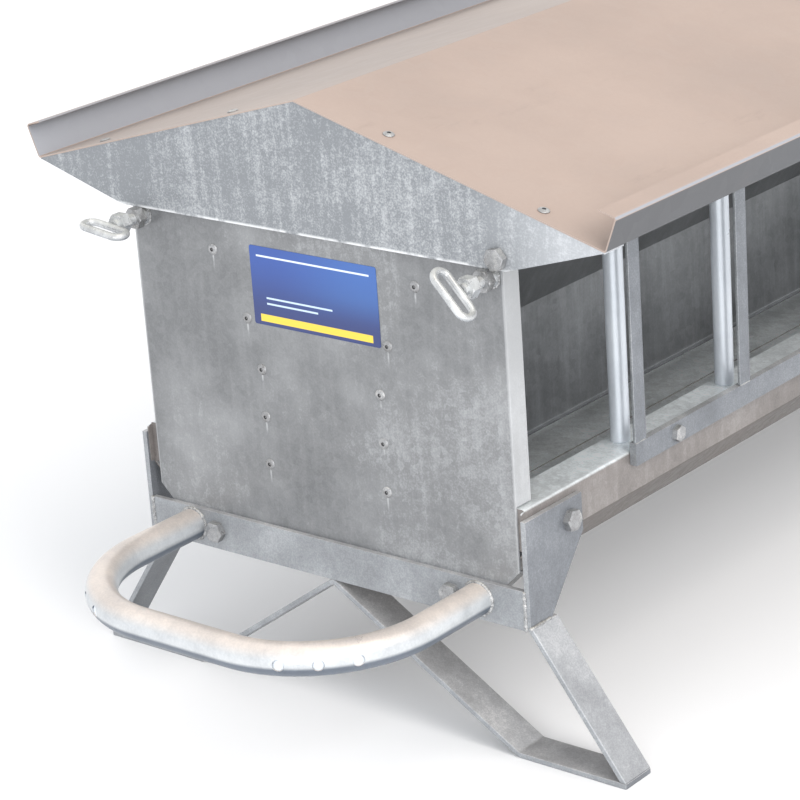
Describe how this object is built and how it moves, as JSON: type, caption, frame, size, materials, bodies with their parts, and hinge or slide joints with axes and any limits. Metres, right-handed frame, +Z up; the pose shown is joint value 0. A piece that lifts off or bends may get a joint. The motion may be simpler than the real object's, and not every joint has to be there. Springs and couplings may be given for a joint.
{
  "type": "trough feeder",
  "caption": "Galvanised two-sided trough feeder with a central hopper, sliding feeding combs, a lifting gutter-edged roof, flat-bar legs and a tube handle at each end.",
  "frame": {"origin": "on the floor under the middle of the trough", "axes": "+Y along the trough, +X towards the side that the roof hinges on, +Z up"},
  "size_m": [0.6294, 2.0164, 0.54],
  "materials": {
    "galvanised_sheet": "spangled zinc, satin",
    "galvanised_bar": "hot-dip zinc, satin",
    "zinc_fasteners": "bright zinc plating",
    "label_film": "printed film"
  },
  "bodies": {
    "feeder_frame": {"crossbar_far": "galvanised_bar", "crossbar_near": "galvanised_bar", "end_panel_far": "galvanised_sheet", "end_panel_near": "galvanised_sheet", "feed_deflector": "galvanised_sheet", "frame_bolts": "zinc_fasteners", "frame_nuts": "zinc_fasteners", "guide_rail_left": "galvanised_bar", "guide_rail_right": "galvanised_bar", "handle_far": "galvanised_bar", "handle_near": "galvanised_bar", "handle_plugs": "zinc_fasteners", "hinge_bolts": "zinc_fasteners", "hinge_spacers": "zinc_fasteners", "hopper_tie_straps": "galvanised_bar", "hopper_wall_left": "galvanised_sheet", "hopper_wall_right": "galvanised_sheet", "label_plate": "label_film", "leg_bar_far": "galvanised_bar", "leg_bar_near": "galvanised_bar", "outer_struts_far": "galvanised_bar", "outer_struts_near": "galvanised_bar", "panel_rivets": "zinc_fasteners", "screw_lock_nuts": "zinc_fasteners", "side_bracket_far_left": "galvanised_bar", "side_bracket_far_right": "galvanised_bar", "side_bracket_near_left": "galvanised_bar", "side_bracket_near_right": "galvanised_bar", "trough_pan": "galvanised_sheet", "upright_bars_left": "galvanised_bar", "upright_bars_right": "galvanised_bar", "weld_bosses": "zinc_fasteners"},
    "comb_right": {"comb_backing_strip_right": "galvanised_bar", "comb_bars_right": "galvanised_bar", "comb_guide_bolts_right": "zinc_fasteners", "comb_guide_nuts_right": "zinc_fasteners", "comb_lock_bolts_right": "zinc_fasteners", "comb_lower_rail_right": "galvanised_bar", "comb_upper_rail_right": "galvanised_bar"},
    "comb_left": {"comb_backing_strip_left": "galvanised_bar", "comb_bars_left": "galvanised_bar", "comb_guide_bolts_left": "zinc_fasteners", "comb_guide_nuts_left": "zinc_fasteners", "comb_lock_bolts_left": "zinc_fasteners", "comb_lower_rail_left": "galvanised_bar", "comb_upper_rail_left": "galvanised_bar"},
    "roof": {"roof_sheet": "galvanised_sheet", "gable_plate_near": "galvanised_sheet", "gable_plate_far": "galvanised_sheet", "roof_rivets": "zinc_fasteners"},
    "hand_screw_near_right": {"hand_screw_near_right": "zinc_fasteners", "screw_ring_near_right": "zinc_fasteners"},
    "hand_screw_near_left": {"hand_screw_near_left": "zinc_fasteners", "screw_ring_near_left": "zinc_fasteners"},
    "hand_screw_far_right": {"hand_screw_far_right": "zinc_fasteners", "screw_ring_far_right": "zinc_fasteners"},
    "hand_screw_far_left": {"hand_screw_far_left": "zinc_fasteners", "screw_ring_far_left": "zinc_fasteners"}
  },
  "joints": [
    {"name": "roof_lift", "type": "hinge", "parent": "feeder_frame", "child": "roof", "pos_m": [0.2, 0, 0.4355], "axis": [0, 1, 0], "range_deg": [0, 70]},
    {"name": "comb_right_slide", "type": "slide", "parent": "feeder_frame", "child": "comb_right", "axis": [0, 1, 0], "range_m": [0, 0.06]},
    {"name": "comb_left_slide", "type": "slide", "parent": "feeder_frame", "child": "comb_left", "axis": [0, 1, 0], "range_m": [0, 0.06]},
    {"name": "screw_near_right_turn", "type": "hinge", "parent": "feeder_frame", "child": "hand_screw_near_right", "pos_m": [0.188, -0.8555, 0.4168], "axis": [0, 1, 0], "continuous": true},
    {"name": "screw_near_left_turn", "type": "hinge", "parent": "feeder_frame", "child": "hand_screw_near_left", "pos_m": [-0.188, -0.8555, 0.4168], "axis": [0, 1, 0], "continuous": true},
    {"name": "screw_far_right_turn", "type": "hinge", "parent": "feeder_frame", "child": "hand_screw_far_right", "pos_m": [0.188, 0.8555, 0.4168], "axis": [0, 1, 0], "continuous": true},
    {"name": "screw_far_left_turn", "type": "hinge", "parent": "feeder_frame", "child": "hand_screw_far_left", "pos_m": [-0.188, 0.8555, 0.4168], "axis": [0, 1, 0], "continuous": true}
  ]
}
